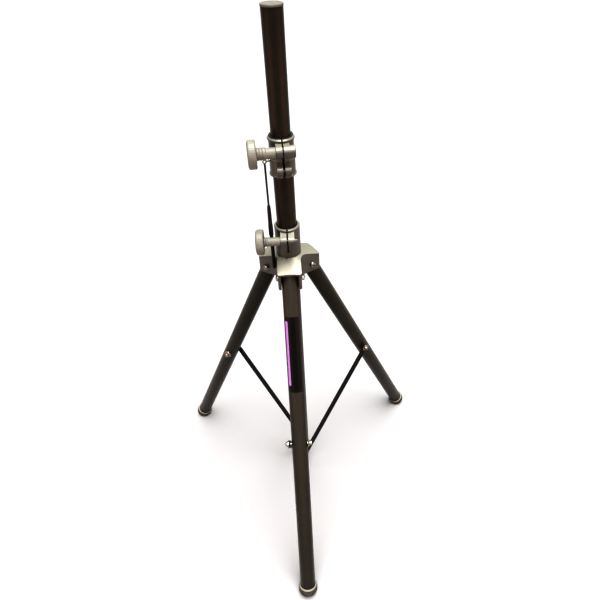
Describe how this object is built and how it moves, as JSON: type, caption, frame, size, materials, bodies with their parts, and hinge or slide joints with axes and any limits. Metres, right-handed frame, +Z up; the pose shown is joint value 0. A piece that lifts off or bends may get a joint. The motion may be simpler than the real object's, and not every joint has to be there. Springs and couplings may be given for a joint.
{
  "type": "speaker tripod stand",
  "caption": "Folding tripod stand with a telescoping pole, clamp collars with side knobs, braced tubular legs with rubber feet and a lock pin on a lanyard.",
  "frame": {"origin": "middle of the bounding box's footprint, on the floor", "axes": "+Z up along the mast; the front leg points to -Y and the clamp knobs to -X"},
  "size_m": [0.6652, 0.5818, 1.191],
  "materials": {
    "tube": "satin black paint with a warm tint",
    "casting": "satin dark grey paint on die-cast alloy",
    "knob": "moulded plastic, lightly textured",
    "plastic": "moulded black plastic",
    "cap": "cream moulded plastic",
    "rubber": "moulded black rubber",
    "steel": "nickel plate",
    "strap": "satin black paint",
    "cord": "black braided nylon cord"
  },
  "bodies": {
    "mast": {"main_tube": "tube", "main_tube_bottom_plug": "plastic", "upper_collar": "casting", "upper_collar_liner": "plastic", "upper_clamp_insert": "steel", "collar_pinch_bolt": "steel", "collar_pinch_nut": "steel", "strap_screw_front": "steel", "strap_screw_right": "steel", "strap_screw_left": "steel", "lanyard_eye": "steel", "lanyard_cord": "cord", "lock_pin_grip": "plastic", "lock_pin": "strap"},
    "pole": {"inner_shaft": "tube", "shaft_top_cap": "cap", "shaft_glide_bush": "plastic"},
    "upper_knob": {"upper_knob": "knob", "upper_knob_sleeve": "knob", "upper_clamp_screw": "steel"},
    "housing": {"leg_housing": "casting", "leg_housing_liner": "plastic", "lower_clamp_nut": "steel", "pivot_bolt_front": "steel", "pivot_bolt_right": "steel", "pivot_bolt_left": "steel", "pivot_nut_front": "steel", "pivot_nut_right": "steel", "pivot_nut_left": "steel"},
    "lower_knob": {"lower_knob": "knob", "lower_knob_sleeve": "knob", "lower_clamp_screw": "steel"},
    "leg_front": {"leg_tube_front": "tube", "leg_top_plug_front": "plastic", "foot_front": "rubber", "brace_bolt_front": "steel", "brace_washer_front": "steel"},
    "brace_front": {"brace_strap_front": "strap", "brace_nut_front": "steel"},
    "leg_right": {"leg_tube_right": "tube", "leg_top_plug_right": "plastic", "foot_right": "rubber", "brace_bolt_right": "steel", "brace_washer_right": "steel"},
    "brace_right": {"brace_strap_right": "strap", "brace_nut_right": "steel"},
    "leg_left": {"leg_tube_left": "tube", "leg_top_plug_left": "plastic", "foot_left": "rubber", "brace_bolt_left": "steel", "brace_washer_left": "steel"},
    "brace_left": {"brace_strap_left": "strap", "brace_nut_left": "steel"}
  },
  "joints": [
    {"name": "shaft_slide", "type": "slide", "parent": "mast", "child": "pole", "axis": [0, 0, 1], "range_m": [0, 0.69]},
    {"name": "housing_slide", "type": "slide", "parent": "mast", "child": "housing", "axis": [0, 0, 1], "range_m": [0, 0.08711]},
    {"name": "upper_knob_turn", "type": "hinge", "parent": "mast", "child": "upper_knob", "pos_m": [0.00296, 0.05788, 0.97], "axis": [0.9957, 0.0924, 0], "range_deg": [0, 540]},
    {"name": "lower_knob_turn", "type": "hinge", "parent": "housing", "child": "lower_knob", "pos_m": [0, 0.05824, 0.788], "axis": [1, 0, 0], "range_deg": [0, 540]},
    {"name": "leg_front_fold", "type": "hinge", "parent": "housing", "child": "leg_front", "pos_m": [0, 0.04818, 0.70564], "axis": [1, 0, 0], "range_deg": [0, 22.7]},
    {"name": "brace_front_fold", "type": "hinge", "parent": "mast", "child": "brace_front", "pos_m": [0, 0.08974, 0.046], "axis": [1, 0, 0], "range_deg": [-23.7, 0]},
    {"name": "leg_right_fold", "type": "hinge", "parent": "housing", "child": "leg_right", "pos_m": [0.03599, 0.11052, 0.70564], "axis": [-0.5, 0.866, 0], "range_deg": [0, 22.7]},
    {"name": "brace_right_fold", "type": "hinge", "parent": "mast", "child": "brace_right", "pos_m": [0, 0.08974, 0.046], "axis": [-0.5, 0.866, 0], "range_deg": [-23.7, 0]},
    {"name": "leg_left_fold", "type": "hinge", "parent": "housing", "child": "leg_left", "pos_m": [-0.03599, 0.11052, 0.70564], "axis": [-0.5, -0.866, 0], "range_deg": [0, 22.7]},
    {"name": "brace_left_fold", "type": "hinge", "parent": "mast", "child": "brace_left", "pos_m": [0, 0.08974, 0.046], "axis": [-0.5, -0.866, 0], "range_deg": [-23.7, 0]}
  ],
  "couplings": [
    {"joint": "leg_front_fold", "follows": "housing_slide", "rad_per_m": 4.5319},
    {"joint": "brace_front_fold", "follows": "housing_slide", "rad_per_m": -4.7411},
    {"joint": "leg_right_fold", "follows": "housing_slide", "rad_per_m": 4.5319},
    {"joint": "brace_right_fold", "follows": "housing_slide", "rad_per_m": -4.7411},
    {"joint": "leg_left_fold", "follows": "housing_slide", "rad_per_m": 4.5319},
    {"joint": "brace_left_fold", "follows": "housing_slide", "rad_per_m": -4.7411}
  ]
}
